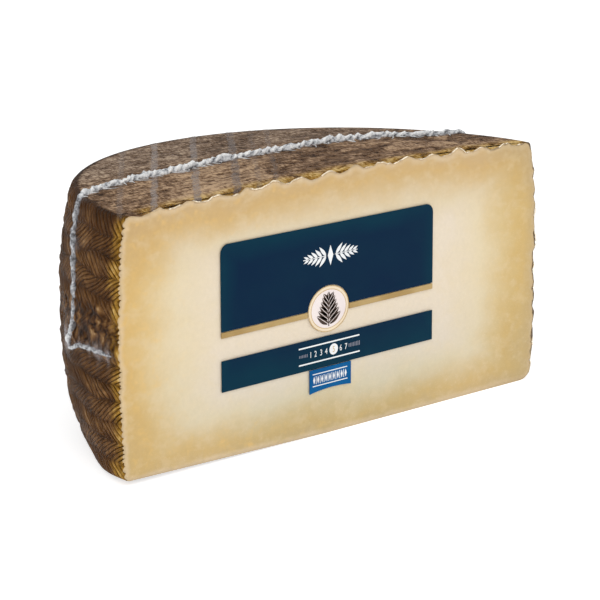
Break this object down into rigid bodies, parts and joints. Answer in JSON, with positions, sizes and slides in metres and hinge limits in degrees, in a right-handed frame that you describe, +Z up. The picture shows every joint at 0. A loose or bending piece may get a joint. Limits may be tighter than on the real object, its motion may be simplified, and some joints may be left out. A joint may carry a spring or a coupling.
{
  "type": "half wheel of aged sheep cheese",
  "caption": "Half wheel of aged sheep cheese with a plait-marked rind, in skin-tight clear film with a gathered seam and a plain printed label over the cut face.",
  "frame": {"origin": "centre of the bounding box's base, on the surface that the half wheel stands on", "axes": "+X along the width of the cut face, left to right as it is looked at; -Y out of the cut face; +Z up"},
  "size_m": [0.2026, 0.101, 0.0974],
  "materials": {
    "cheese": "ivory to straw paste with a brown rind, glossy under clear film",
    "film": "clear shrink film, whitish where it is gathered",
    "navy_print": "navy print under glossy film",
    "gold_print": "dull gold print under glossy film",
    "cream_print": "cream print under glossy film",
    "blue_print": "light blue print under glossy film"
  },
  "bodies": {
    "root": {"cheese": "cheese", "film_seam": "film", "label_field": "navy_print", "label_band": "navy_print", "label_stripe_left": "gold_print", "label_stripe_right": "gold_print", "label_medallion": "cream_print", "label_tag": "blue_print"}
  },
  "joints": []
}
